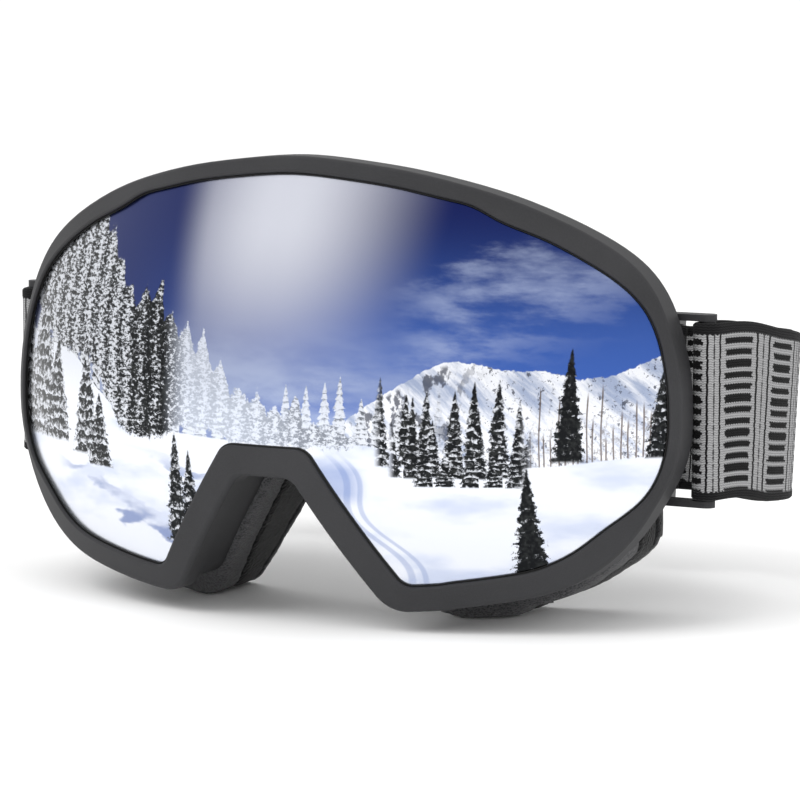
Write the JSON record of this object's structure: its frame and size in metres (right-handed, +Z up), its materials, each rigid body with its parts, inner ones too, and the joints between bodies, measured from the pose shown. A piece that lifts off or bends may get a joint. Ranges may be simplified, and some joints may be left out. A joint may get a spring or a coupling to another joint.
{
  "type": "ski goggles",
  "caption": "Ski goggles with a curved mirrored double lens in a vented moulded frame, layered face foam and an elastic strap with sliders.",
  "frame": {"origin": "on the surface the goggles stand on, under the middle of the bounding box", "axes": "+Z up, +X to the right of someone who faces the lens, -Y the way the wearer looks"},
  "size_m": [0.1924, 0.1216, 0.1057],
  "materials": {
    "frame_moulding": "matt charcoal flexible moulding",
    "lens_mirror": "mirror-coated polycarbonate",
    "gasket": "black soft seal",
    "spacer_foam": "black closed-cell foam tape",
    "inner_lens": "clear anti-fog acetate",
    "foam_grey": "dark grey open-cell foam",
    "foam_black": "black open-cell foam",
    "fleece": "brushed micro-fleece",
    "vent_foam": "open reticulated foam",
    "webbing": "woven elastic, grey with a dark pattern",
    "silicone": "printed silicone lines",
    "slider_plastic": "black moulded acetal",
    "thread": "polyester thread"
  },
  "bodies": {
    "frame": {"frame": "frame_moulding", "outer_lens": "lens_mirror", "lens_gasket": "gasket", "lens_spacer": "spacer_foam", "inner_lens": "inner_lens", "foam_base": "foam_grey", "foam_core": "foam_black", "face_fleece": "fleece", "vent_foam_top": "vent_foam", "vent_foam_bottom": "vent_foam", "strap_loop_right": "webbing", "strap_loop_left": "webbing"},
    "strap": {"strap_band": "webbing", "strap_grip": "silicone", "strap_return_right": "webbing", "strap_return_left": "webbing"},
    "slider_right": {"slider_right": "slider_plastic", "slider_loop_right": "webbing", "bar_tack_right": "thread"},
    "slider_left": {"slider_left": "slider_plastic", "slider_loop_left": "webbing", "bar_tack_left": "thread"}
  },
  "joints": [
    {"name": "strap_tilt", "type": "hinge", "parent": "frame", "child": "strap", "pos_m": [0, -0.01486, 0.0494], "axis": [1, 0, 0], "range_deg": [-16, 22]},
    {"name": "slide_right", "type": "slide", "parent": "strap", "child": "slider_right", "axis": [-1, 0, 0], "range_m": [0, 0.032]},
    {"name": "slide_left", "type": "slide", "parent": "strap", "child": "slider_left", "axis": [1, 0, 0], "range_m": [0, 0.032]}
  ]
}
